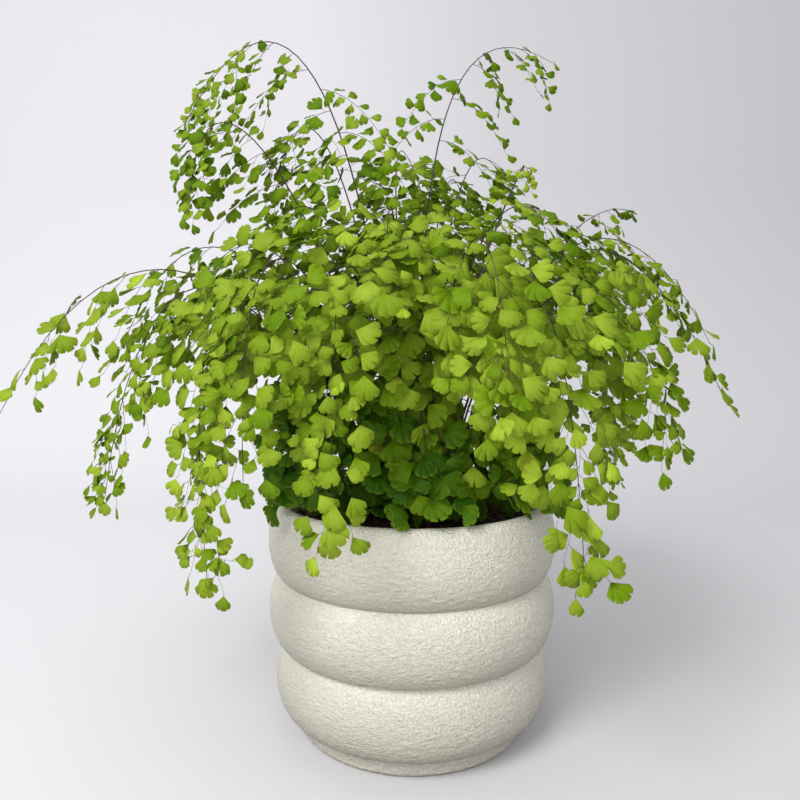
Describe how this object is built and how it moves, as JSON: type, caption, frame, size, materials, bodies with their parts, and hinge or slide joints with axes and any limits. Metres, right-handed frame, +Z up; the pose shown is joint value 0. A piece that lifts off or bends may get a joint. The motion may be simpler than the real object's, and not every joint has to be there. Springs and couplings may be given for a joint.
{
  "type": "potted maidenhair fern",
  "caption": "Maidenhair fern with arching fronds of small fan-shaped leaflets, in a ribbed white textured ceramic pot on a matching drip saucer.",
  "frame": {"origin": "centre of the saucer's flat underside, on the pot's axis", "axes": "+Z up along the pot's axis; -Y to the front, where the plant is fullest; +X to the right of someone facing it"},
  "size_m": [0.4328, 0.3254, 0.4304],
  "materials": {
    "glazed_pot": "soft satin glaze over a fine hammered relief",
    "potting_mix": "damp dark crumbly bark and peat",
    "leaf": "thin satin leaf, lighter at its edges",
    "stalk": "smooth glossy dark wiry stalk"
  },
  "bodies": {
    "root": {"pot": "glazed_pot", "saucer": "glazed_pot", "potting_mix": "potting_mix", "frond_spray_tall_left": "leaf", "frond_spray_mid_left": "leaf", "frond_spray_low_left": "leaf", "frond_spray_centre": "leaf", "frond_spray_tall_right": "leaf", "frond_spray_low_right": "leaf", "frond_spray_back": "leaf", "frond_arch_right_front": "leaf", "frond_arch_right": "leaf", "frond_arch_right_up": "leaf", "frond_arch_back_1": "leaf", "frond_arch_back_2": "leaf", "frond_arch_back_3": "leaf", "frond_arch_back_4": "leaf", "frond_arch_back_5": "leaf", "frond_arch_back_6": "leaf", "frond_arch_left_up": "leaf", "frond_arch_left_long": "leaf", "frond_crown_left": "leaf", "frond_crown_front": "leaf", "frond_crown_right": "leaf", "frond_crown_back": "leaf", "frond_fall_right": "leaf", "frond_fall_right_front": "leaf", "frond_fall_front_right": "leaf", "frond_fall_front_middle": "leaf", "frond_fall_front_left": "leaf", "frond_fall_left_front": "leaf", "frond_fall_left_low": "leaf", "frond_fall_left": "leaf", "frond_fall_left_back": "leaf", "frond_fall_back_left": "leaf", "frond_fall_back": "leaf", "frond_fall_back_right": "leaf", "frond_fall_right_back": "leaf", "frond_low_front": "leaf", "frond_low_right": "leaf", "frond_low_left": "leaf", "frond_low_back": "leaf", "frond_young": "leaf"}
  },
  "joints": []
}
